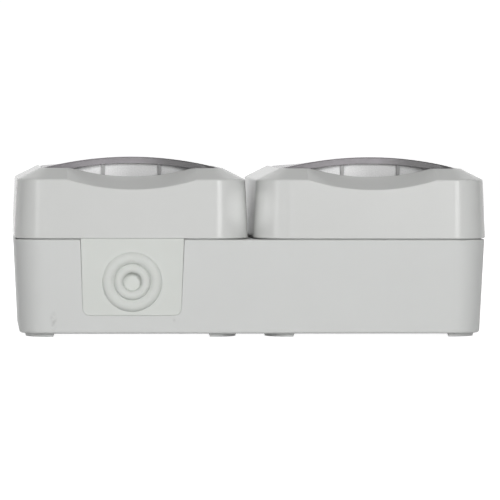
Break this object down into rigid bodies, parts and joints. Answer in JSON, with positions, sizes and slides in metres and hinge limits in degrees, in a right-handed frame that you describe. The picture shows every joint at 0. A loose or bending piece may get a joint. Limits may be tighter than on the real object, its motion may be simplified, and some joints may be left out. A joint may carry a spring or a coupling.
{
  "type": "weatherproof twin socket outlet",
  "caption": "Surface-mounted outdoor socket outlet: long box with a ringed cable entry, square covers with finger scoops, and arched smoky lids that spring shut over round earthed plug wells.",
  "frame": {"origin": "under the middle of the box, in the plane of its feet", "axes": "+X along the two gangs to the right, -Y the lower long side with the cable entry, +Z out of the wall"},
  "size_m": [0.14, 0.0698, 0.053],
  "materials": {
    "base_plastic": "satin moulded",
    "cover_plastic": "satin moulded",
    "entry_rubber": "soft matte",
    "lid_smoke": "smoky, frosted skirt",
    "seal_rubber": "matte",
    "well_plastic": "satin moulded",
    "carrier_plastic": "matte moulded",
    "brass": "rolled",
    "steel": "zinc plated"
  },
  "bodies": {
    "base": {"base_box": "base_plastic", "carrier_screws": "steel", "earth_bar": "brass", "entry_grommet": "entry_rubber", "left_contact_carrier": "carrier_plastic", "left_cover": "cover_plastic", "left_cover_gasket": "seal_rubber", "left_earth_strap": "brass", "left_hinge_pin": "steel", "left_lid_spring": "steel", "left_live_contact": "brass", "left_neutral_contact": "brass", "left_pin_face": "well_plastic", "left_socket_well": "well_plastic", "live_bar": "brass", "neutral_bar": "brass", "right_contact_carrier": "carrier_plastic", "right_cover": "cover_plastic", "right_cover_gasket": "seal_rubber", "right_earth_strap": "brass", "right_hinge_pin": "steel", "right_lid_spring": "steel", "right_live_contact": "brass", "right_neutral_contact": "brass", "right_pin_face": "well_plastic", "right_socket_well": "well_plastic", "terminal_screws": "steel", "well_screws": "steel"},
    "left_lid": {"left_lid": "lid_smoke", "left_lid_seal": "seal_rubber"},
    "right_lid": {"right_lid": "lid_smoke", "right_lid_seal": "seal_rubber"}
  },
  "joints": [
    {"name": "left_lid_hinge", "type": "hinge", "parent": "base", "child": "left_lid", "pos_m": [-0.0354, 0.0256, 0.04725], "axis": [-1, 0, 0], "range_deg": [0, 110], "stiffness_Nm_per_rad": 0.01, "springref_deg": -34.38, "deforming": ["left_lid_spring"]},
    {"name": "right_lid_hinge", "type": "hinge", "parent": "base", "child": "right_lid", "pos_m": [0.0354, 0.0256, 0.04725], "axis": [-1, 0, 0], "range_deg": [0, 110], "stiffness_Nm_per_rad": 0.01, "springref_deg": -34.38, "deforming": ["right_lid_spring"]}
  ]
}
